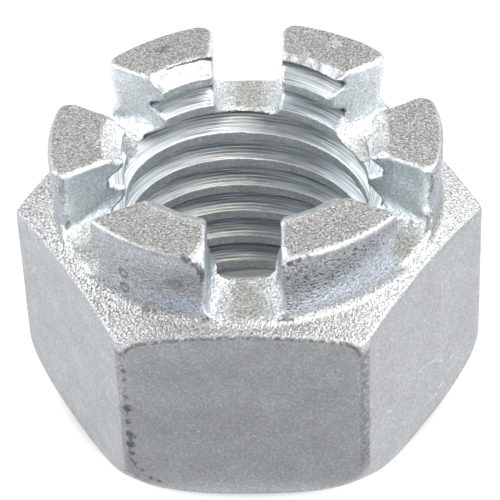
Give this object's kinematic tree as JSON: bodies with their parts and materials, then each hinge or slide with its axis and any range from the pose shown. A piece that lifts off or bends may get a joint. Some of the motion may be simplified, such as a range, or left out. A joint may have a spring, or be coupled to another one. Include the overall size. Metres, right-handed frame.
{
  "type": "castle nut",
  "caption": "Hexagonal castle nut with a conical shoulder, a slotted cylindrical crown for a split pin, and a threaded bore.",
  "frame": {"origin": "centre of the bearing face, on the thread axis", "axes": "+Z along the thread axis towards the crown; +X through a hexagon corner and the tooth above it; two flats face -Y and +Y"},
  "size_m": [0.0337, 0.0294, 0.0211],
  "materials": {
    "zinc_plated_steel": "bright zinc plating over forged steel, satin, with a fine grain"
  },
  "bodies": {
    "root": {"castle_nut": "zinc_plated_steel"}
  },
  "joints": []
}
